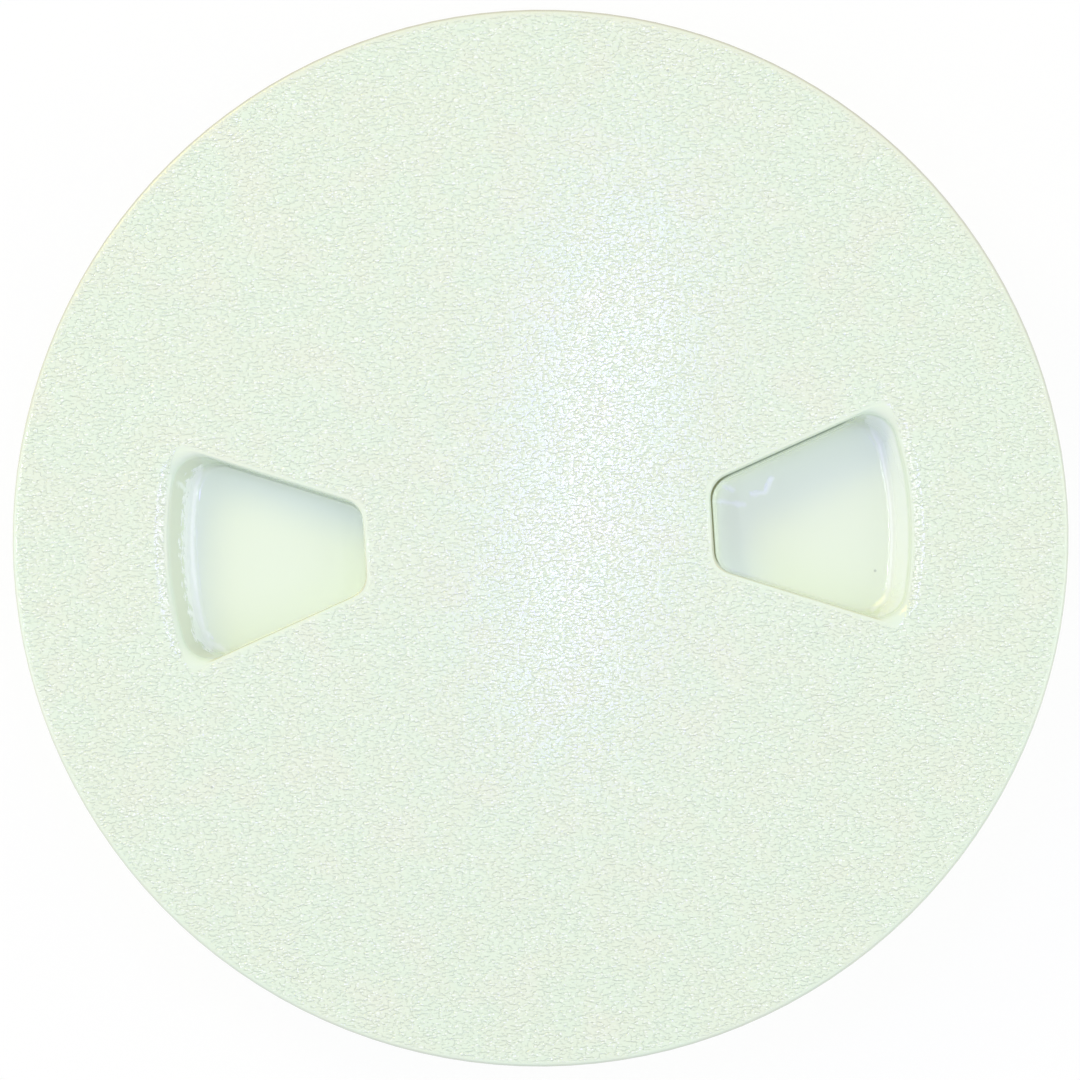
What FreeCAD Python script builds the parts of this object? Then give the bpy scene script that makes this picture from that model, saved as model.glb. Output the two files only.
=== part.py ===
import FreeCAD, Part
import math
import os

# A screw-out deck inspection plate: a lid, the ring it screws into and the seal between them.
# Millimetres and degrees. Z = 0 is the deck surface, +Z points up out of the deck, and the lid's two
# finger wells lie on the X axis. Sizes run inwards from the lid's outer radius.

# The lid's round plate
LID_R = 71.5
PLATE_T = 3.2
RIM_TOP_ROUND = 0.5
RIM_UNDER_EDGE = 0.3

# The ring's flange on the deck
FLANGE_INSET = 0.9
FLANGE_T = 3.0
FLANGE_EDGE_DRAFT = 6.0
FLANGE_EDGE = 0.4

# The countersunk holes for the deck screws, and the flat land left on each side of a screw's head
SCREW_COUNT = 6
FIRST_SCREW_ANGLE = 30.0
SCREW_HOLE_R = 2.2
SCREW_HEAD_R = 4.1
SCREW_HEAD_RIM = 0.3
SCREW_OUTER_LAND = 1.3
SCREW_INNER_LAND = 0.7

# The seal, and the play it has on the skirt, under the plate and on its sloping seat
SEAL_SECTION_R = 1.5
SEAL_GAP = 0.15

# The coarse screw thread, one right-hand start
THREAD_PITCH = 5.0
THREAD_HEIGHT = 1.6
THREAD_FLANK = 25.0
THREAD_TURNS = 1.5
RING_THREAD_EXTRA_TURNS = 0.25
THREAD_RAMP = 7.0
THREAD_RADIAL_GAP = 0.3
THREAD_FLANK_GAP = 0.3
THREAD_END_MARGIN = 0.3

# The lid's skirt and the ring's collar through the deck
SKIRT_WALL = 2.6
SKIRT_DRAFT = 1.0
SKIRT_EDGE = 0.6
SKIRT_ABOVE_COLLAR = 1.0
COLLAR_WALL = 2.9
COLLAR_LEAD = 1.0
COLLAR_ROOT_EDGE = 0.6

# The two finger wells: wedges that point at the centre, with a sloping wall at their wide end
WELL_DEPTH = 7.5
WELL_WALL = 2.0
WELL_TO_SKIRT = 2.0
WELL_LENGTH = 26.55
WELL_NARROW_W = 11.5
WELL_HALF_ANGLE = 20.8
WELL_WIDE_CORNER = 3.9
WELL_NARROW_CORNER = 3.3
WELL_OUTER_DRAFT = 18.0
WELL_SIDE_DRAFT = 1.0
WELL_OUTER_ROUND = 1.4
WELL_SIDE_ROUND = 0.5
FLOOR_ROUND_STEPS = 3

# The lip of a well: a quarter of an ellipse, wide on the outer side that the fingers pull
LIP_DROP = 1.2
LIP_OUTER_W = 2.0
LIP_SIDE_W = 0.3
LIP_STEPS = 4

# Ribs under the plate
RIB_T = 1.8
RIB_DEPTH = 4.0
RIB_DRAFT = 1.0
RIB_ANGLES = (45, 90, 135, 225, 270, 315)

# How far a form runs into the wall that carries it, and a cut past the face it opens
BITE = 0.4
CUT_PAST = 1.0

# The flange and its screws, from the lid's rim inwards
FLANGE_R = LID_R - FLANGE_INSET
SCREW_CIRCLE_R = FLANGE_R - SCREW_OUTER_LAND - SCREW_HEAD_R
SEAT_TOP_R = SCREW_CIRCLE_R - SCREW_HEAD_R - SCREW_INNER_LAND

# The seal lies against a 45 degree seat, the underside of the plate and the skirt
PLATE_BOTTOM = FLANGE_T
PLATE_TOP = PLATE_BOTTOM + PLATE_T
SEAL_Z = PLATE_BOTTOM - SEAL_GAP - SEAL_SECTION_R
SEAL_R = SEAT_TOP_R - (FLANGE_T - SEAL_Z) - math.sqrt(2) * (SEAL_SECTION_R + SEAL_GAP)
SKIRT_R = SEAL_R - SEAL_SECTION_R - SEAL_GAP

# The thread's radii, and its tooth, so that two teeth and two flank gaps fill one pitch
LID_CREST_R = SKIRT_R + THREAD_HEIGHT
RING_ROOT_R = LID_CREST_R + THREAD_RADIAL_GAP
FLANK_SLOPE = math.tan(math.radians(THREAD_FLANK))
TOOTH_ROOT_W = THREAD_PITCH / 2 - THREAD_FLANK_GAP + FLANK_SLOPE * (RING_ROOT_R - SKIRT_R)
SKIRT_INNER_R = SKIRT_R - SKIRT_WALL
COLLAR_R = RING_ROOT_R + COLLAR_WALL

# Heights, from the foot of the seal's seat down
SEAT_BOTTOM = FLANGE_T - (SEAT_TOP_R - RING_ROOT_R)
RING_THREAD_TOP = SEAT_BOTTOM - THREAD_END_MARGIN - TOOTH_ROOT_W / 2
LID_THREAD_START = RING_THREAD_TOP - (THREAD_TURNS + 0.5) * THREAD_PITCH
SKIRT_BOTTOM = LID_THREAD_START - TOOTH_ROOT_W / 2 - THREAD_END_MARGIN
COLLAR_BOTTOM = SKIRT_BOTTOM - SKIRT_ABOVE_COLLAR

# The wells, from the skirt inwards. The lines of a well's sides meet at its apex.
WELL_OUTER_R = SKIRT_INNER_R - WELL_TO_SKIRT
WELL_INNER_X = WELL_OUTER_R - WELL_LENGTH
WELL_APEX_X = WELL_INNER_X - WELL_NARROW_W / 2 / math.tan(math.radians(WELL_HALF_ANGLE))
WELL_FLOOR = PLATE_TOP - WELL_DEPTH

UP = FreeCAD.Vector(0, 0, 1)
CENTRE = FreeCAD.Vector(0, 0, 0)


def draft(height, angle):
    """How far a wall of this height leans over at this angle."""
    return height * math.tan(math.radians(angle))


def revolved(points):
    """A solid turned round the Z axis from a closed outline of (radius, height) points."""
    outline = Part.makePolygon([FreeCAD.Vector(r, 0, z) for r, z in points + points[:1]])
    return Part.Face(outline).revolve(CENTRE, UP, 360)


def turned(shape, angle):
    """A copy of the shape, turned round the Z axis."""
    copy = shape.copy()
    copy.rotate(CENTRE, UP, angle)
    return copy


# The finger wells

def arc_about(centre, radius, start, end):
    """An arc round a centre, the short way from start to end."""
    middle = (start + end) / 2 - centre
    return Part.Arc(start, centre + middle * (radius / middle.Length), end).toShape()


def well_outline(z, outer_inset, side_inset):
    """The wedge with four round corners, drawn at height z and drawn in by the insets."""
    angle = math.radians(WELL_HALF_ANGLE)
    along = FreeCAD.Vector(math.cos(angle), math.sin(angle), 0)
    across = FreeCAD.Vector(-math.sin(angle), math.cos(angle), 0)
    apex = FreeCAD.Vector(WELL_APEX_X, 0, 0)

    # The corner between a side and the outer arc
    outer_r = WELL_OUTER_R - outer_inset
    wide_r = WELL_WIDE_CORNER - side_inset
    wide_across = -side_inset - wide_r
    wide_off_centre = wide_across - WELL_APEX_X * math.sin(angle)
    wide_along = math.sqrt((outer_r - wide_r) ** 2 - wide_off_centre ** 2) - WELL_APEX_X * math.cos(angle)
    wide_centre = apex + along * wide_along + across * wide_across
    outer_end = wide_centre * (outer_r / wide_centre.Length)
    side_far = wide_centre + across * wide_r

    # The corner between a side and the straight inner end
    inner_x = WELL_INNER_X + side_inset
    narrow_r = WELL_NARROW_CORNER - side_inset
    narrow_across = -side_inset - narrow_r
    narrow_along = (inner_x + narrow_r - WELL_APEX_X + narrow_across * math.sin(angle)) / math.cos(angle)
    narrow_centre = apex + along * narrow_along + across * narrow_across
    side_near = narrow_centre + across * narrow_r
    inner_end = FreeCAD.Vector(inner_x, narrow_centre.y, 0)

    def mirrored(point):
        return FreeCAD.Vector(point.x, -point.y, 0)

    outline = Part.Wire([
        arc_about(CENTRE, outer_r, mirrored(outer_end), outer_end),
        arc_about(wide_centre, wide_r, outer_end, side_far),
        Part.LineSegment(side_far, side_near).toShape(),
        arc_about(narrow_centre, narrow_r, side_near, inner_end),
        Part.LineSegment(inner_end, mirrored(inner_end)).toShape(),
        arc_about(mirrored(narrow_centre), narrow_r, mirrored(inner_end), mirrored(side_near)),
        Part.LineSegment(mirrored(side_near), mirrored(side_far)).toShape(),
        arc_about(mirrored(wide_centre), wide_r, mirrored(side_far), mirrored(outer_end)),
    ])
    outline.translate(FreeCAD.Vector(0, 0, z))
    return outline


def lip_outline(step):
    """A well's outline on its rounded lip, from the wall's top at step 0 up to the plate's face."""
    turn = math.pi / 2 * step / LIP_STEPS
    spread = 1 - math.cos(turn)
    drop = LIP_DROP * (1 - math.sin(turn))
    return well_outline(PLATE_TOP - drop, -LIP_OUTER_W * spread, -LIP_SIDE_W * spread)


def floor_round_outline(step):
    """A well's outline where its walls turn into the floor, from their foot at step 0 in to the flat floor."""
    lean = math.radians(WELL_OUTER_DRAFT)
    turn = lean + (math.pi / 2 - lean) * step / FLOOR_ROUND_STEPS
    spread = math.cos(lean) - math.cos(turn)
    wall_height = WELL_DEPTH - LIP_DROP - WELL_OUTER_ROUND * (1 - math.sin(lean))
    outer_inset = draft(wall_height, WELL_OUTER_DRAFT) + WELL_OUTER_ROUND * spread
    side_inset = draft(wall_height, WELL_SIDE_DRAFT) + WELL_SIDE_ROUND * spread
    return well_outline(WELL_FLOOR + WELL_OUTER_ROUND * (1 - math.sin(turn)), outer_inset, side_inset)


def well_cavity():
    """The hollow of one well: a rounded lip, drafted walls, and a round where they meet the floor."""
    lip = Part.makeLoft([lip_outline(step) for step in range(LIP_STEPS + 1)], True, False)
    walls = Part.makeLoft([lip_outline(0), floor_round_outline(0)], True, True)
    floor_round = Part.makeLoft([floor_round_outline(step) for step in range(FLOOR_ROUND_STEPS + 1)], True, False)
    return walls.fuse([lip, floor_round]).removeSplitter()


def well_shell():
    """The wall round one well below the plate. Its outer side runs into the skirt."""
    outer_inset = WELL_OUTER_R - (SKIRT_R - SKIRT_WALL / 2)
    top_inset = draft(PLATE_T, WELL_SIDE_DRAFT) - WELL_WALL
    bottom_inset = draft(WELL_DEPTH + WELL_WALL, WELL_SIDE_DRAFT) - WELL_WALL
    return Part.makeLoft([
        well_outline(PLATE_BOTTOM, outer_inset, top_inset),
        well_outline(WELL_FLOOR - WELL_WALL, outer_inset, bottom_inset),
    ], True, True)


# The screw thread

def thread_tooth(root_r, height, start_z, start_angle, turns):
    """One trapezoid tooth wound round the Z axis. A negative height points it inwards."""
    crest_r = root_r + height
    buried_r = root_r - math.copysign(BITE, height)
    crest_half = TOOTH_ROOT_W / 2 - FLANK_SLOPE * abs(height)
    buried_half = TOOTH_ROOT_W / 2 + FLANK_SLOPE * BITE
    outline = Part.makePolygon([
        FreeCAD.Vector(buried_r, 0, -buried_half),
        FreeCAD.Vector(crest_r, 0, -crest_half),
        FreeCAD.Vector(crest_r, 0, crest_half),
        FreeCAD.Vector(buried_r, 0, buried_half),
        FreeCAD.Vector(buried_r, 0, -buried_half),
    ])
    path = Part.Wire(Part.makeHelix(THREAD_PITCH, turns * THREAD_PITCH, root_r).Edges)
    tooth = path.makePipeShell([outline], True, True)
    tooth = tooth.cut([end_ramp(root_r, height, 0, 1), end_ramp(root_r, height, turns, -1)])
    tooth.translate(FreeCAD.Vector(0, 0, start_z))
    return turned(tooth, start_angle)


def end_ramp(root_r, height, turns, into):
    """A wedge that runs the tooth's end down to its root. into is 1 at its start, -1 at its end."""
    span = math.degrees(THREAD_RAMP / root_r) * into
    behind = -span / 2
    beyond_r = root_r + 2 * height
    half = THREAD_PITCH / 2 - THREAD_FLANK_GAP

    def place(radius, angle):
        radians = math.radians(angle)
        return FreeCAD.Vector(radius * math.cos(radians), radius * math.sin(radians), -half)

    corners = [
        place(root_r, behind),
        place(root_r, 0),
        place(root_r + height, span),
        place(beyond_r, span),
        place(beyond_r, behind),
    ]
    wedge = Part.Face(Part.makePolygon(corners + corners[:1])).extrude(FreeCAD.Vector(0, 0, 2 * half))
    wedge.translate(FreeCAD.Vector(0, 0, turns * THREAD_PITCH))
    return turned(wedge, 360 * turns)


# The lid

def lid_body():
    """The round plate and the plain skirt below it."""
    skirt_low_r = SKIRT_INNER_R + draft(PLATE_BOTTOM - SKIRT_BOTTOM, SKIRT_DRAFT)
    body = revolved([
        (0, PLATE_BOTTOM),
        (SKIRT_INNER_R, PLATE_BOTTOM),
        (skirt_low_r, SKIRT_BOTTOM),
        (SKIRT_R - SKIRT_EDGE, SKIRT_BOTTOM),
        (SKIRT_R, SKIRT_BOTTOM + SKIRT_EDGE),
        (SKIRT_R, PLATE_BOTTOM),
        (LID_R - RIM_UNDER_EDGE, PLATE_BOTTOM),
        (LID_R, PLATE_BOTTOM + RIM_UNDER_EDGE),
        (LID_R, PLATE_TOP),
        (0, PLATE_TOP),
    ])
    rim = [edge for edge in body.Edges if edge.BoundBox.ZMin > PLATE_TOP - RIM_TOP_ROUND]
    return body.makeFillet(RIM_TOP_ROUND, rim)


def round_rib():
    """The rib that joins the inner ends of the wells."""
    outer_r = WELL_INNER_X - WELL_WALL + BITE
    lean = draft(RIB_DEPTH, RIB_DRAFT)
    bottom = PLATE_BOTTOM - RIB_DEPTH
    return revolved([
        (outer_r - RIB_T, PLATE_BOTTOM),
        (outer_r, PLATE_BOTTOM),
        (outer_r - lean, bottom),
        (outer_r - RIB_T + lean, bottom),
    ])


def straight_rib():
    """A rib along +X, from the round rib out to the skirt."""
    start = WELL_INNER_X - WELL_WALL - RIB_T / 2
    end = SKIRT_INNER_R + SKIRT_WALL / 2
    half = RIB_T / 2
    low_half = half - draft(RIB_DEPTH, RIB_DRAFT)
    bottom = PLATE_BOTTOM - RIB_DEPTH
    section = Part.makePolygon([
        FreeCAD.Vector(start, -half, PLATE_BOTTOM),
        FreeCAD.Vector(start, half, PLATE_BOTTOM),
        FreeCAD.Vector(start, low_half, bottom),
        FreeCAD.Vector(start, -low_half, bottom),
        FreeCAD.Vector(start, -half, PLATE_BOTTOM),
    ])
    return Part.Face(section).extrude(FreeCAD.Vector(end - start, 0, 0))


def make_cover():
    """The lid: plate, skirt, ribs, two wells and the outer half of the thread."""
    shell = well_shell()
    ribs = [turned(straight_rib(), angle) for angle in RIB_ANGLES]
    cover = lid_body().fuse([shell, turned(shell, 180), round_rib()] + ribs)
    cavity = well_cavity()
    cover = cover.cut([cavity, turned(cavity, 180)]).removeSplitter()
    return cover.fuse(thread_tooth(SKIRT_R, THREAD_HEIGHT, LID_THREAD_START, 0, THREAD_TURNS))


# The ring and the seal

def ring_body():
    """The flange, the collar and the sloping seat for the seal, before thread and holes."""
    flange_top_r = FLANGE_R - draft(FLANGE_T, FLANGE_EDGE_DRAFT)
    return revolved([
        (RING_ROOT_R, COLLAR_BOTTOM),
        (COLLAR_R - COLLAR_LEAD, COLLAR_BOTTOM),
        (COLLAR_R, COLLAR_BOTTOM + COLLAR_LEAD),
        (COLLAR_R, -COLLAR_ROOT_EDGE),
        (COLLAR_R + COLLAR_ROOT_EDGE, 0),
        (FLANGE_R, 0),
        (flange_top_r, FLANGE_T - FLANGE_EDGE),
        (flange_top_r - FLANGE_EDGE, FLANGE_T),
        (SEAT_TOP_R, FLANGE_T),
        (RING_ROOT_R, SEAT_BOTTOM),
    ])


def screw_hole():
    """One hole with a 45 degree countersink, as a solid to cut away."""
    head_z = FLANGE_T - SCREW_HEAD_RIM
    hole = revolved([
        (0, -CUT_PAST),
        (SCREW_HOLE_R, -CUT_PAST),
        (SCREW_HOLE_R, head_z - (SCREW_HEAD_R - SCREW_HOLE_R)),
        (SCREW_HEAD_R, head_z),
        (SCREW_HEAD_R, FLANGE_T + CUT_PAST),
        (0, FLANGE_T + CUT_PAST),
    ])
    hole.translate(FreeCAD.Vector(SCREW_CIRCLE_R, 0, 0))
    return hole


def make_ring():
    """The ring: flange, collar, screw holes and the inner half of the thread."""
    angles = [FIRST_SCREW_ANGLE + index * 360 / SCREW_COUNT for index in range(SCREW_COUNT)]
    ring = ring_body().cut([turned(screw_hole(), angle) for angle in angles])
    turns = THREAD_TURNS + RING_THREAD_EXTRA_TURNS
    start_z = RING_THREAD_TOP - turns * THREAD_PITCH
    start_angle = -360 * RING_THREAD_EXTRA_TURNS
    return ring.fuse(thread_tooth(RING_ROOT_R, -THREAD_HEIGHT, start_z, start_angle, turns))


def make_seal():
    """The round rubber ring that the top of the skirt passes through."""
    section = Part.Circle(FreeCAD.Vector(SEAL_R, 0, SEAL_Z), FreeCAD.Vector(0, 1, 0), SEAL_SECTION_R)
    return Part.Face(Part.Wire(section.toShape())).revolve(CENTRE, UP, 360)


os.makedirs("parts", exist_ok=True)
for name, piece in (("cover", make_cover()), ("mounting_ring", make_ring()), ("o_ring", make_seal())):
    piece.exportStep(f"parts/{name}.step")
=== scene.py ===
"""Looks of a round screw-out deck inspection plate: grained lid, threaded ring and rubber seal."""

import math

import bpy
from mathutils import Matrix, Vector


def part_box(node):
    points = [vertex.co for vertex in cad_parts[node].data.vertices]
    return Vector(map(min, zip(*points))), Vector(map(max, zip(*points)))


# Sizes, places and distances are in millimetres, and times MM they are in Blender's metres. A pair says
# where something starts and where it is full. Four numbers add where it stops being full and where it ends.
MM = 0.001

# The lid's shapes that its finish follows
LID_R = 71.5
LID_TOP = 6.2
WELL_OUTER_R = 50.2
WELL_INNER_X = 23.6
WELL_APEX_X = 8.48
WELL_HALF_ANGLE = math.radians(20.8)
WELL_CORNER = 3.0
INTO_MOUTH = (0.3, -0.2)
INTO_LEFT_HALF = (0.5, -0.5)
ON_WELL_FLOOR = (1.0, -1.0)

# How the plate lies in the picture: the right-hand well sits a little higher than the left one
LAY = math.radians(3.5)
RIGHT = Vector((math.cos(LAY), -math.sin(LAY), 0))
AWAY = Vector((math.sin(LAY), math.cos(LAY), 0))
UP = Vector((0, 0, 1))

# The plastic's unevenness, in soft patches
UNEVEN_SPACING = 4.5
UNEVEN = (0.35, 0.65)
BLUSH_SPACING = 7.0
BLUSH_STRETCH = 3
BLUSHED = (0.5, 0.75)

# The pebble grain of the top face, and how far it reaches: from the mouths, up the lips and from the rim
PEBBLE_SPACING = 0.5
PEBBLE_SQUEEZE = 1.7
PEBBLE_WAVER = 0.8
PEBBLE_WAVER_SPACING = 0.55
GRAIN_DEPTH = 0.06
GRAIN_FROM_MOUTH = (0.4, 0.8)
GRAIN_HEIGHT = (5.4, 5.9)
GRAIN_FROM_RIM = (LID_R - 0.2, LID_R - 0.9)

# One pebble, by the distance from its middle in spacings, and the share of pebbles that stand proud
PEBBLE_EDGE = (0.8, 0.48)
PEBBLE_CROWN = 0.3
CREVICE = (0.6, 0.74)
TIP = (0.45, 0.2)
PROUD = (0.66, 0.88)
PROUD_SIZE = 0.5
PROUD_HEIGHT = 2.6

# The strip of worn tips with painted glints beside each outer lip: distance from the mouth, radius and half
# its length
WORN_GLINT_FROM_MOUTH = (0.3, 0.6, 1.0, 2.2)
WORN_GLINT_R = (49.9, 50.4)
WORN_GLINT_HALF_LENGTH = (12.5, 9.0)

# The outer slopes, rubbed by fingers and painted paler as a painted highlight. The left-hand one has painted
# shade high up and is torn in a ragged strip, painted white as wear and painted highlight.
SLOPE_R = (47.0, 47.5)
SLOPE_HEIGHT = (-1.3, -1.15, 4.0, 4.9)
SLOPE_SHADE_HEIGHT = (0.5, 1.5, 4.4, 5.4)
SCRATCH_SPACING = 1.3
SCRATCH_STRETCH = 0.7
RAGGED_EDGE_WANDER = 9
PALE_PAINT_STOPS_ABOVE = (1.0, 1.5)
TORN_HIGHLIGHT_ABOVE = (-0.9, -0.3)
TORN_HIGHLIGHT_BELOW = (1.2, 0.7)

# The haze of fine scuffs at the narrow end of the right-hand well, painted paler than the scuffs alone as
# painted light against the shade there
HAZE_AND_LIGHT_X = (34.0, 26.0)
HAZE_AND_LIGHT_HEIGHT = (3.0, 0.0)

# Marks of use, as they lie in the picture: to the right of the plate's centre and away from the viewer
SCUFFS = (
    ((28.8, 5.9), (30.6, 6.2)),
    ((30.6, 6.2), (31.5, 8.1)),
    ((23.8, 5.0), (27.7, 4.5)),
    ((24.5, 7.6), (26.3, 6.5)),
    ((44.4, 15.7), (47.7, 12.8)),
    ((47.7, 12.8), (49.6, 7.0)),
    ((49.0, -6.5), (45.0, -9.8)),
    ((-47.4, -11.3), (-46.6, -13.3)),
    ((-46.6, -13.3), (-43.0, -15.5)),
    ((-47.2, -12.2), (-45.4, -13.2)),
    ((-48.9, 7.4), (-48.4, 6.5)),
)
SCUFF_WANDER = 1.1
SCUFF_HALF_WIDTH = (0.5, 0.1)
SCUFFED_BELOW = (5.0, 4.0)
SPECKS = ((45.5, -4.5), (-44.2, -33.9), (17.6, 63.1), (37.7, -13.2))
SPECK_R = (0.26, 0.10)

# Painted shade in the steep walls: up under the lip in the right-hand well, further down on its end wall,
# and thin and low in the left-hand one
WALL_SHADE_FROM_MOUTH = (0.45, 0.3)
WALL_SHADE_R = (47.2, 43.0)
WALL_SHADE_Y = (-6.5, -4.5)
WALL_SHADE_FOOT = -0.5
WALL_SHADE_FULL = 4.6
WALL_SHADE_FURTHER_DOWN = 3.2
WALL_SHADE_LIP = (5.6, 5.2)
END_WALL_X = (27.0, 24.0)
LEFT_WALL_SHADE_SHARE = 0.35
LEFT_WALL_SHADE_HEIGHT = (-1.25, -1.05, 0.0, 0.8)

# The yellowish-brown line along the near lips: distance from the mouth, height, radius and place across the
# lid
NEAR_LIP_LINE_FROM_MOUTH = (-0.15, 0.0, 0.12, 0.3)
NEAR_LIP_LINE_HEIGHT = (4.6, 5.2)
NEAR_LIP_LINE_R = (48.5, 46.5)
NEAR_LIP_LINE_Y = (6.0, -3.0)

# The rim's painted warm light and its thin dark line, both stronger towards the side away from the viewer
FAR_SIDE = (-10.0, 55.0)
WARM_RIM_LIGHT_R = (70.0, 71.3)
RIM_LINE_R = (71.1, 71.35)
RIM_LINE_HEIGHT = (3.6, 5.0)
RIM_LINE_NEAR = 0.3
RIM_LINE_FAR = 0.4

# Colours of the plain materials and of the painted shade in the walls
LID_PALE = (0.80, 0.885, 0.735)
LID_GREENER = (0.785, 0.895, 0.745)
RING_PALE = (0.79, 0.885, 0.73)
RING_PALER = (0.81, 0.895, 0.75)
SEAL_BLACK = (0.018, 0.018, 0.019)
SEAL_BLOOM = (0.035, 0.035, 0.036)
WALL_SHADE_ON_SIDES = (0.20, 0.26, 0.20)
WALL_SHADE_ON_END = (0.16, 0.17, 0.06)

# What lies over the lid's plain colour: its own colour, and how strongly it covers
BLUSH = ((0.83, 0.87, 0.74), 0.5)
# Painted light: the well floors paler and bluer than the plastic, lifting the shade in the wells
WELL_FLOOR_PAINTED_LIGHT = ((0.832, 0.918, 0.797), 1.0)
# Painted light with scuffing: the pale haze at the right-hand well's narrow end
HAZED_AND_LIT = ((0.92, 1.0, 0.89), 0.75)
# Painted glints with wear: the white of the pebbles' tips
PEBBLE_TIP_GLINT = ((0.95, 1.0, 0.94), 1.0)
CREVICE_SHADE = ((0.34, 0.42, 0.44), 0.12)
# Painted shade high on the left-hand slope
PAINTED_SLOPE_SHADE = ((0.74, 0.80, 0.655), 0.8)
# Painted highlight with rubbing: the pale paint on the outer slopes
RUBBED_AND_HIGHLIT = ((0.94, 1.0, 0.96), 0.95)
# Painted highlight with wear: the white paint of the torn strip
TORN_AND_HIGHLIT = ((0.95, 1.0, 0.97), 1.0)
SCUFFED = ((0.93, 1.0, 0.94), 0.85)
SPECKED = ((0.20, 0.22, 0.25), 0.4)
NEAR_LIP_LINE_COLOUR = ((0.60, 0.56, 0.36), 0.5)
# Painted warm light on the rim's far side
WARM_RIM_LIGHT = ((0.83, 0.84, 0.70), 0.55)
RIM_LINE = ((0.52, 0.50, 0.42), 1.0)

# How white the pebbles' tips are painted, as wear and painted glints, on proud pebbles and in the worn strips
PROUD_TIP_GLINT = 0.9
WORN_TIP_GLINT = 0.95

# The lid's roughness where it is plain, and what each mark adds to it
PLASTIC_IOR = 1.5
LID_ROUGHNESS = 0.08
CREVICE_ROUGHER = 0.5
WALL_SHADE_ROUGHER = 0.6
TORN_ROUGHER = 0.2
SCUFF_ROUGHER = 0.15

# The ring's faint flow marks and fine skin
FLOW_SPACING = 9.0
FLOW_STRETCH = 4
FLOW = (0.3, 0.7)
RING_ROUGHNESS = 0.33
FLOW_ROUGHER = 0.12
RING_SKIN_SPACING = 0.35
RING_SKIN_DEPTH = 0.004

# The seal's bloom and fine skin
RUBBER_IOR = 1.5
BLOOM_SPACING = 3.0
BLOOM = (0.45, 0.7)
SEAL_ROUGHNESS = 0.42
BLOOM_ROUGHER = 0.2
SEAL_SKIN_SPACING = 0.4
SEAL_SKIN_DEPTH = 0.006

# The floor, and the hair's breadth that keeps it out of the plane of the ring's foot
FLOOR_GAP = 0.05 * MM
FLOOR_HALF_WIDTH = 3000
FLOOR_COLOUR = (0.98, 0.98, 0.98)
FLOOR_ROUGHNESS = 0.8
FLOOR_GLOW = 0.93
WHITE = (1, 1, 1)

# The warm lamp from the upper left
KEY_BEARING = Vector((-0.70, 0.71))
KEY_SLANT = math.radians(50)
KEY_DISTANCE = 1100
KEY_SIZE = (400, 400)
KEY_RADIANCE = 5.5
KEY_COLOUR = (1.0, 0.85, 0.0)

# The narrow cool lamp overhead, along the line between its two ends
STRIP_FAR_END = (4.2, 64.5, 250)
STRIP_NEAR_END = (-10, -19.1, 250)
STRIP_SIZE = (13, 85)
STRIP_RADIANCE = 23.0
STRIP_COLOUR = (0.33, 0.25, 1.0)

# The lamps at the sides: place, size, radiance and colour
SIDE_LAMPS = {
    "right_side": ((500, -40, 330), (440, 300), 1.9, (0.98, 1.0, 0.86)),
    "right_glint": ((330, 30, 700), (30, 120), 20.0, (0.85, 0.92, 1.0)),
    "left_glint": ((-330, 30, 700), (30, 120), 20.0, (0.85, 0.92, 1.0)),
    "left_side": ((-520, -40, 300), (440, 300), 1.9, (0.74, 0.75, 1.0)),
}
ROOM_COLOUR = (0.626, 0.644, 0.676)

# The camera
CAMERA_PLACE = (45, -30, LID_TOP + 800)
CAMERA_TARGET = (0.3, -0.5, LID_TOP)
CAMERA_LENS = 197.8
CAMERA_SENSOR = 36


def opaque(colour):
    return (*colour, 1)


class Value:
    """A socket of a material. Arithmetic on it adds Math nodes."""

    def __init__(self, nodes, socket):
        self.nodes = nodes
        self.socket = socket

    def maths(self, operation, *terms):
        return self.nodes.node("ShaderNodeMath", {"operation": operation}, dict(enumerate(terms)))

    def __add__(self, other):
        return self.maths("ADD", self, other)

    def __sub__(self, other):
        return self.maths("SUBTRACT", self, other)

    def __rsub__(self, other):
        return self.maths("SUBTRACT", other, self)

    def __mul__(self, other):
        return self.maths("MULTIPLY", self, other)

    def __pow__(self, other):
        return self.maths("POWER", self, other)

    __radd__ = __add__
    __rmul__ = __mul__

    def size(self):
        """The value without its sign."""
        return self.maths("ABSOLUTE", self)

    def least(self, other):
        return self.maths("MINIMUM", self, other)

    def most(self, other):
        return self.maths("MAXIMUM", self, other)

    def rise(self, start, end):
        """0 up to start, 1 from end on, smooth between them. With start over end it falls."""
        inputs = {"Value": self, "From Min": start, "From Max": end}
        return self.nodes.node("ShaderNodeMapRange", {"interpolation_type": "SMOOTHSTEP"}, inputs)

    def band(self, start, full, until, end):
        """1 from full to until, falling to 0 at start and end."""
        return self.rise(start, full) * self.rise(end, until)


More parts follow.
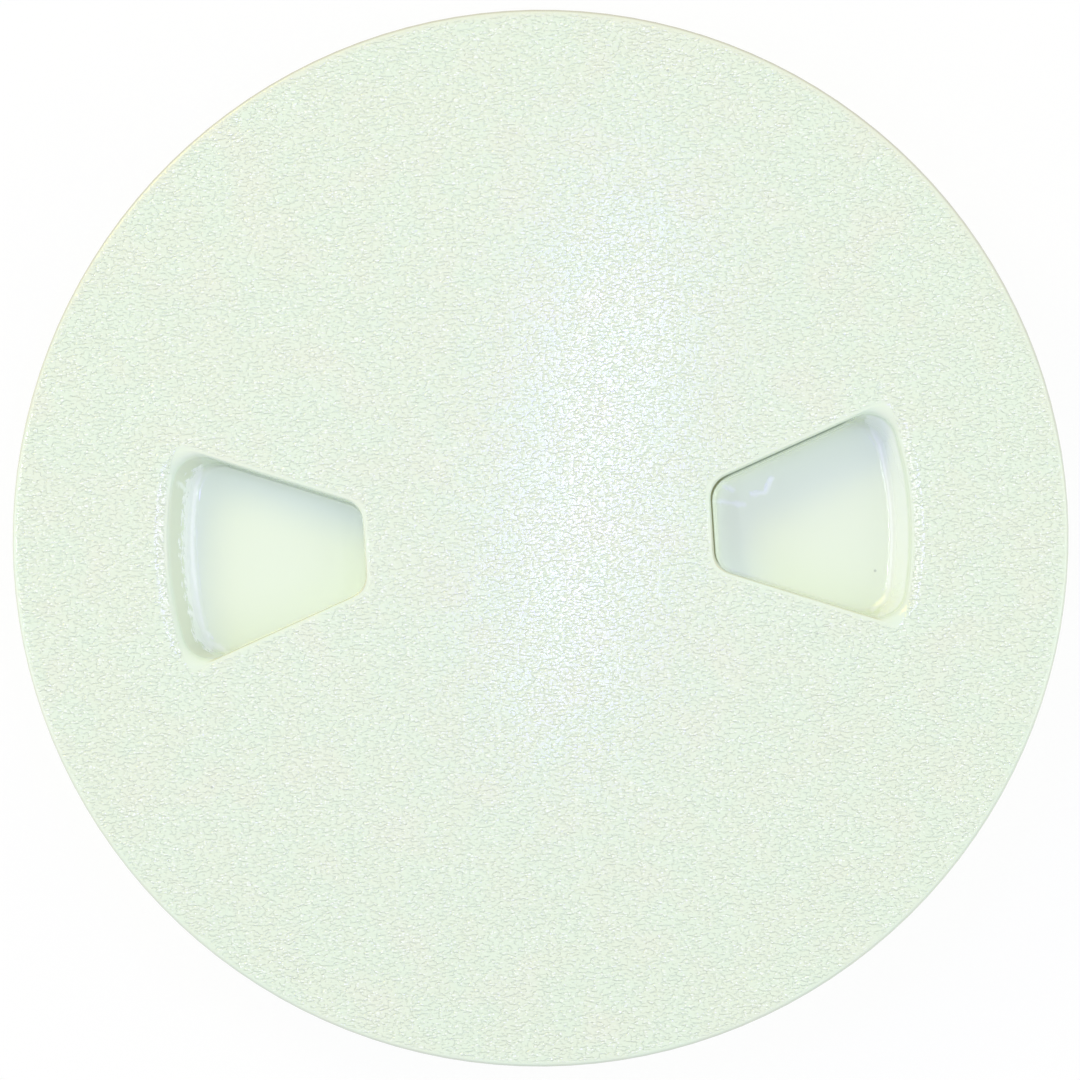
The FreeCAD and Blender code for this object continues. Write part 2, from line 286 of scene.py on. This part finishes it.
class Nodes:
    """The nodes of a material or of the room, under construction."""

    def __init__(self, tree):
        self.tree = tree

    def node(self, kind, settings=None, inputs=None, output=0):
        """A new node: its settings, then the values or links of its sockets. Gives one output."""
        made = self.tree.nodes.new(kind)
        for name, value in (settings or {}).items():
            setattr(made, name, value)
        for key, value in (inputs or {}).items():
            if isinstance(value, Value):
                self.tree.links.new(value.socket, made.inputs[key])
            else:
                made.inputs[key].default_value = value
        return Value(self, made.outputs[output] if made.outputs else None)

    def along(self, direction, axis):
        """How far a direction or place reaches along an axis."""
        settings = {"operation": "DOT_PRODUCT"}
        return self.node("ShaderNodeVectorMath", settings, {0: direction, 1: axis}, "Value")

    def seen(self):
        """1 where the camera, a mirror image or clear matter shows the surface, 0 where it lights others."""
        paths = self.node("ShaderNodeLightPath").socket.node.outputs
        rays = ("Camera", "Glossy", "Transmission")
        camera, glossy, clear = [Value(self, paths[f"Is {ray} Ray"]) for ray in rays]
        return camera.most(glossy).most(clear)

    def mix(self, factor, first, second):
        """One colour into another."""
        return self.node("ShaderNodeMix", {"data_type": "RGBA"}, {0: factor, 6: first, 7: second}, 2)


class Finish(Nodes):
    """A material of the plate, with its place in millimetres."""

    def __init__(self, name, **constants):
        self.material = bpy.data.materials.new(name)
        self.material.use_nodes = True
        super().__init__(self.material.node_tree)
        self.shader = self.tree.nodes["Principled BSDF"]
        for socket, value in constants.items():
            self.shader.inputs[socket.replace("_", " ")].default_value = value
        place = self.node("ShaderNodeTexCoord", output="Object")
        self.place = self.node("ShaderNodeVectorMath", {"operation": "SCALE"}, {0: place, "Scale": 1 / MM})
        parts = self.node("ShaderNodeSeparateXYZ", {}, {0: self.place}).socket.node.outputs
        self.x, self.y, self.z = [Value(self, socket) for socket in parts]
        self.radius = (self.x * self.x + self.y * self.y) ** 0.5

    def feed(self, **links):
        """Links values to the shader's own sockets."""
        for socket, value in links.items():
            self.tree.links.new(value.socket, self.shader.inputs[socket.replace("_", " ")])

    def cover(self, colour, mask, paint):
        """A colour with a paint over it where the mask is 1."""
        tint, strength = paint
        return self.mix(mask * strength, colour, opaque(tint))

    def noise(self, spacing, place=None, detail=2.0, roughness=0.5, output="Fac"):
        """Soft noise with features about this many millimetres apart."""
        inputs = {"Vector": place or self.place, "Scale": 1 / spacing}
        inputs.update({"Detail": detail, "Roughness": roughness})
        return self.node("ShaderNodeTexNoise", {}, inputs, output)

    def stretched(self, across, along, up):
        """The place with each direction scaled."""
        settings = {"operation": "MULTIPLY"}
        return self.node("ShaderNodeVectorMath", settings, {0: self.place, 1: (across, along, up)})

    def beyond(self, point):
        """The place as seen from a point of the picture, level with it."""
        point = RIGHT * point[0] + AWAY * point[1]
        level = self.stretched(1, 1, 0)
        return self.node("ShaderNodeVectorMath", {"operation": "SUBTRACT"}, {0: level, 1: point})

    def length(self, vector):
        return self.node("ShaderNodeVectorMath", {"operation": "LENGTH"}, {0: vector}, "Value")

    def from_stroke(self, start, end):
        """The distance in plan from a straight stroke."""
        run = RIGHT * (end[0] - start[0]) + AWAY * (end[1] - start[1])
        offset = self.beyond(start)
        reach = (self.along(offset, run) * (1 / run.length_squared)).most(0.0).least(1.0)
        foot = self.node("ShaderNodeVectorMath", {"operation": "SCALE"}, {0: run, "Scale": reach})
        return self.length(self.node("ShaderNodeVectorMath", {"operation": "SUBTRACT"}, {0: offset, 1: foot}))

    def bumped(self, height, depth):
        """A surface with this relief, its depth in millimetres."""
        inputs = {"Strength": 1.0, "Distance": depth * MM, "Height": height}
        return self.node("ShaderNodeBump", {}, inputs, "Normal")


def nearest(distances):
    """The least of several distances."""
    least, *others = distances
    for other in others:
        least = least.least(other)
    return least


def well_distance(f):
    """How far outside the nearer well's mouth a point is, negative inside it."""
    past_apex = f.x.size() - WELL_APEX_X
    side = f.y.size() * math.cos(WELL_HALF_ANGLE) - past_apex * math.sin(WELL_HALF_ANGLE)
    inner = WELL_INNER_X - f.x.size()
    outer = f.radius - WELL_OUTER_R
    rounded = {"operation": "SMOOTH_MAX"}
    corner = f.node("ShaderNodeMath", rounded, {0: side, 1: inner, 2: WELL_CORNER})
    return f.node("ShaderNodeMath", rounded, {0: corner, 1: outer, 2: WELL_CORNER})


def pebbles(f):
    """The moulded grain of the top face: its height, its crevices, its tips and which pebbles are proud."""
    waver = f.noise(PEBBLE_WAVER_SPACING, detail=1.0, output="Color")
    shift = f.node("ShaderNodeVectorMath", {"operation": "SCALE"}, {0: waver, "Scale": PEBBLE_WAVER})
    squeezed = f.stretched(1, PEBBLE_SQUEEZE, 1)
    at = f.node("ShaderNodeVectorMath", {"operation": "ADD"}, {0: squeezed, 1: shift})
    settings = {"voronoi_dimensions": "2D", "feature": "F1"}
    cells = {"Vector": at, "Scale": 1 / PEBBLE_SPACING, "Randomness": 1.0}
    middle = f.node("ShaderNodeTexVoronoi", settings, cells, "Distance")
    pick = Value(f, middle.socket.node.outputs["Color"])
    proud = f.node("ShaderNodeSeparateColor", {}, {0: pick}).rise(*PROUD)
    bulge = (PROUD_SIZE**2 - middle * middle).most(0.0) * PROUD_HEIGHT * proud
    dome = middle.rise(*PEBBLE_EDGE) - PEBBLE_CROWN * middle * middle + bulge
    return dome, middle.rise(*CREVICE), middle.rise(*TIP), proud


def moulded_colour(f):
    """The plastic's own colour, a little uneven."""
    uneven = f.noise(UNEVEN_SPACING).rise(*UNEVEN)
    blushed = f.noise(BLUSH_SPACING, f.stretched(1, 1, BLUSH_STRETCH), detail=1.0).rise(*BLUSHED)
    return f.cover(f.mix(uneven, opaque(LID_PALE), opaque(LID_GREENER)), blushed, BLUSH)


def worn_glint_strip(f, mouth):
    """Where the fingers have worn the grain's tips beside the outer lips, with painted glints there."""
    return mouth.band(*WORN_GLINT_FROM_MOUTH) * f.radius.rise(*WORN_GLINT_R) * f.y.size().rise(*WORN_GLINT_HALF_LENGTH)


def painted_shade_in_walls(f, mouth, left, end_wall):
    """Painted shade in the steep walls: dark in the right-hand well, thin in the left-hand one."""
    wall = mouth.rise(*WALL_SHADE_FROM_MOUTH) * f.radius.rise(*WALL_SHADE_R) * f.y.rise(*WALL_SHADE_Y)
    full = WALL_SHADE_FULL - WALL_SHADE_FURTHER_DOWN * end_wall
    under_lip = f.z.rise(WALL_SHADE_FOOT, full) * f.z.rise(*WALL_SHADE_LIP)
    low = left * LEFT_WALL_SHADE_SHARE * f.z.band(*LEFT_WALL_SHADE_HEIGHT)
    return wall * ((1 - left) * under_lip + low)


def rimmed(f, colour):
    """A colour with painted warm light on the rim, stronger on its far side, and a thin dark line."""
    far = f.along(f.place, AWAY).rise(*FAR_SIDE)
    colour = f.cover(colour, f.radius.rise(*WARM_RIM_LIGHT_R) * far, WARM_RIM_LIGHT)
    line = f.radius.rise(*RIM_LINE_R) * f.z.rise(*RIM_LINE_HEIGHT)
    return f.cover(colour, line * (RIM_LINE_NEAR + RIM_LINE_FAR * far), RIM_LINE)


def lid_plastic():
    """Pale moulded plastic: pebble grain on the top face, smooth and glossy in the wells, marked by use, with
    painted shade, painted light and painted glints.
    """
    f = Finish("lid_plastic", IOR=PLASTIC_IOR)
    mouth = well_distance(f)
    inside = mouth.rise(*INTO_MOUTH)
    left = f.x.rise(*INTO_LEFT_HALF)
    end_wall = f.x.size().rise(*END_WALL_X)
    slope = f.radius.rise(*SLOPE_R)
    grained = mouth.rise(*GRAIN_FROM_MOUTH) * f.z.rise(*GRAIN_HEIGHT) * f.radius.rise(*GRAIN_FROM_RIM)
    dome, crevice, tips_and_glints, proud = pebbles(f)
    crevice = crevice * grained
    tips_and_glints = tips_and_glints * grained * (proud * PROUD_TIP_GLINT).most(worn_glint_strip(f, mouth) * WORN_TIP_GLINT)

    # The plastic, its smooth well floors painted paler as painted light against their shade, one of them
    # hazed at its narrow end and painted lighter there, and the grain with its tips painted as worn tips and
    # painted glints
    colour = f.cover(moulded_colour(f), inside * f.z.rise(*ON_WELL_FLOOR), WELL_FLOOR_PAINTED_LIGHT)
    haze_and_light = inside * (1 - left) * f.x.rise(*HAZE_AND_LIGHT_X) * f.z.rise(*HAZE_AND_LIGHT_HEIGHT)
    colour = f.cover(colour, haze_and_light, HAZED_AND_LIT)
    colour = f.cover(colour, tips_and_glints, PEBBLE_TIP_GLINT)
    colour = f.cover(colour, crevice, CREVICE_SHADE)

    # The outer slopes, rubbed pale by the fingers that turn the lid and painted paler as a painted highlight,
    # with painted shade high on the left-hand one
    colour = f.cover(colour, slope * left * inside * f.z.band(*SLOPE_SHADE_HEIGHT), PAINTED_SLOPE_SHADE)
    on_slope = slope * f.z.band(*SLOPE_HEIGHT) * inside
    scratchy = f.noise(SCRATCH_SPACING, f.stretched(1, SCRATCH_STRETCH, 1), detail=5.0, roughness=0.7)
    wander = scratchy - 0.5
    ragged_edge_height = f.z + wander * RAGGED_EDGE_WANDER
    colour = f.cover(colour, on_slope * (1 - left * ragged_edge_height.rise(*PALE_PAINT_STOPS_ABOVE)), RUBBED_AND_HIGHLIT)
    torn_and_highlit_strip = on_slope * left * f.z.rise(*TORN_HIGHLIGHT_ABOVE) * ragged_edge_height.rise(*TORN_HIGHLIGHT_BELOW)
    colour = f.cover(colour, torn_and_highlit_strip, TORN_AND_HIGHLIT)

    # Scuffs in the wells, and a few dark specks
    scuff = nearest(f.from_stroke(start, end) for start, end in SCUFFS) + wander * SCUFF_WANDER
    scuff = scuff.rise(*SCUFF_HALF_WIDTH) * inside * f.z.rise(*SCUFFED_BELOW)
    colour = f.cover(colour, scuff, SCUFFED)
    speck = nearest(f.length(f.beyond(spot)) for spot in SPECKS).rise(*SPECK_R)
    colour = f.cover(colour, speck, SPECKED)

    # Painted shade in the walls, a yellowish-brown line along the near lips, and the rim's painted warm light
    # and dark line
    wall_shade = painted_shade_in_walls(f, mouth, left, end_wall)
    colour = f.mix(wall_shade, colour, f.mix(end_wall, opaque(WALL_SHADE_ON_SIDES), opaque(WALL_SHADE_ON_END)))
    near_lip_line = mouth.band(*NEAR_LIP_LINE_FROM_MOUTH) * f.z.rise(*NEAR_LIP_LINE_HEIGHT) * f.radius.rise(*NEAR_LIP_LINE_R)
    colour = f.cover(colour, near_lip_line * f.y.rise(*NEAR_LIP_LINE_Y), NEAR_LIP_LINE_COLOUR)
    colour = rimmed(f, colour)

    rough = LID_ROUGHNESS + CREVICE_ROUGHER * crevice + WALL_SHADE_ROUGHER * wall_shade
    rough = rough + TORN_ROUGHER * torn_and_highlit_strip + SCUFF_ROUGHER * scuff
    height = dome * grained + (torn_and_highlit_strip + scuff) * scratchy
    f.feed(Base_Color=colour, Roughness=rough, Normal=f.bumped(height, GRAIN_DEPTH))
    return f.material


def ring_plastic():
    """The same plastic, plain satin, with faint flow marks."""
    f = Finish("ring_plastic", IOR=PLASTIC_IOR)
    flow = f.noise(FLOW_SPACING, f.stretched(1, 1, FLOW_STRETCH), detail=3.0)
    colour = f.mix(flow.rise(*FLOW), opaque(RING_PALE), opaque(RING_PALER))
    skin = f.bumped(f.noise(RING_SKIN_SPACING), RING_SKIN_DEPTH)
    f.feed(Base_Color=colour, Roughness=RING_ROUGHNESS + FLOW_ROUGHER * flow, Normal=skin)
    return f.material


def seal_rubber():
    """Black moulded rubber with a little bloom."""
    f = Finish("seal_rubber", IOR=RUBBER_IOR)
    bloom = f.noise(BLOOM_SPACING, detail=4.0, roughness=0.6).rise(*BLOOM)
    colour = f.mix(bloom, opaque(SEAL_BLACK), opaque(SEAL_BLOOM))
    skin = f.bumped(f.noise(SEAL_SKIN_SPACING), SEAL_SKIN_DEPTH)
    f.feed(Base_Color=colour, Roughness=SEAL_ROUGHNESS + BLOOM_ROUGHER * bloom, Normal=skin)
    return f.material


def dress(frame):
    """Gives each node its finish."""
    finishes = {"cover": lid_plastic(), "mounting_ring": ring_plastic(), "o_ring": seal_rubber()}
    for name, finish in finishes.items():
        node = frame["nodes"][name]
        node.data.materials.clear()
        node.data.materials.append(finish)


def floor(height):
    """A plain pale floor under the plate, white to the eye and still shaded by the plate."""
    size = FLOOR_HALF_WIDTH * MM
    corners = [(-size, -size, height), (size, -size, height), (size, size, height), (-size, size, height)]
    mesh = bpy.data.meshes.new("floor")
    mesh.from_pydata(corners, [], [(0, 1, 2, 3)])
    made = bpy.data.objects.new("floor", mesh)
    bpy.context.scene.collection.objects.link(made)
    colour = opaque(FLOOR_COLOUR)
    f = Finish("floor", Roughness=FLOOR_ROUGHNESS, Specular_IOR_Level=0.0, Base_Color=colour)
    plain = Value(f, f.shader.outputs[0])
    glow = f.node("ShaderNodeEmission", {}, {"Color": opaque(WHITE), "Strength": 1.0})
    shown = f.node("ShaderNodeMixShader", {}, {0: f.seen() * FLOOR_GLOW, 1: plain, 2: glow})
    f.tree.links.new(shown.socket, f.tree.nodes["Material Output"].inputs["Surface"])
    mesh.materials.append(f.material)


def in_picture(right, away, up):
    """A place as seen in the picture, from the plate's centre."""
    return (RIGHT * right + AWAY * away + UP * up) * MM


def aim(thing, place, target, turn=None):
    """Puts a lamp or camera at a place, its -Z towards the target."""
    away = (place - target).normalized()
    up = turn or AWAY
    right = up.cross(away).normalized()
    rotation = Matrix((right, away.cross(right), away)).transposed()
    thing.matrix_world = Matrix.Translation(place) @ rotation.to_4x4()


def lamp(name, place, target, size, radiance, colour, turn=None):
    """A flat rectangular lamp that looks this bright, seen square on."""
    wide, tall = [side * MM for side in size]
    light = bpy.data.lights.new(name, "AREA")
    light.shape = "RECTANGLE"
    light.size = wide
    light.size_y = tall
    light.energy = radiance * math.pi * wide * tall
    light.color = colour
    made = bpy.data.objects.new(name, light)
    made.visible_camera = False
    bpy.context.scene.collection.objects.link(made)
    aim(made, place, target, turn)


def light_plate():
    """A warm lamp from the upper left, a cool strip overhead, and soft and small bright ones at the sides."""
    top = in_picture(0, 0, LID_TOP)
    key = KEY_BEARING * math.sin(KEY_SLANT) * KEY_DISTANCE
    place = in_picture(*key, math.cos(KEY_SLANT) * KEY_DISTANCE)
    lamp("key", place, top, KEY_SIZE, KEY_RADIANCE, KEY_COLOUR)
    far_end, near_end = in_picture(*STRIP_FAR_END), in_picture(*STRIP_NEAR_END)
    middle = (far_end + near_end) / 2
    lamp("strip", middle, middle - UP, STRIP_SIZE, STRIP_RADIANCE, STRIP_COLOUR, far_end - near_end)
    for name, (place, size, radiance, colour) in SIDE_LAMPS.items():
        lamp(name, in_picture(*place), top, size, radiance, colour)


def fill_room():
    """A pale room that lights the plate evenly, and looks white to the camera and in the plate's gloss."""
    world = bpy.data.worlds.new("room")
    bpy.context.scene.world = world
    world.use_nodes = True
    world.node_tree.nodes.clear()
    n = Nodes(world.node_tree)
    room = n.node("ShaderNodeBackground", {}, {"Color": opaque(ROOM_COLOUR), "Strength": 1.0})
    white = n.node("ShaderNodeBackground", {}, {"Color": opaque(WHITE), "Strength": 1.0})
    both = n.node("ShaderNodeMixShader", {}, {0: n.seen(), 1: room, 2: white})
    n.node("ShaderNodeOutputWorld", {}, {"Surface": both})


def set_camera():
    """Looks almost straight down from a little right of the plate's centre, as the photographer did."""
    data = bpy.data.cameras.new("camera")
    data.sensor_width = CAMERA_SENSOR
    data.lens = CAMERA_LENS
    made = bpy.data.objects.new("camera", data)
    bpy.context.scene.collection.objects.link(made)
    aim(made, in_picture(*CAMERA_PLACE), in_picture(*CAMERA_TARGET))
    bpy.context.scene.camera = made


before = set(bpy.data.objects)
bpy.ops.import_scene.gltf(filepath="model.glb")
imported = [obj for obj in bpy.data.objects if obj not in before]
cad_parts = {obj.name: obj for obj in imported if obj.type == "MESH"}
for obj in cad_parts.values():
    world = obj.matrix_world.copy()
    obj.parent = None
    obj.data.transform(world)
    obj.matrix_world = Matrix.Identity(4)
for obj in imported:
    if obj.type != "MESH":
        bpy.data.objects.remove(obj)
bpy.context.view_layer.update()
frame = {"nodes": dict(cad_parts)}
bpy.context.scene.view_settings.view_transform = "Standard"
dress(frame)
floor(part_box("mounting_ring")[0].z - FLOOR_GAP)
light_plate()
fill_room()
set_camera()
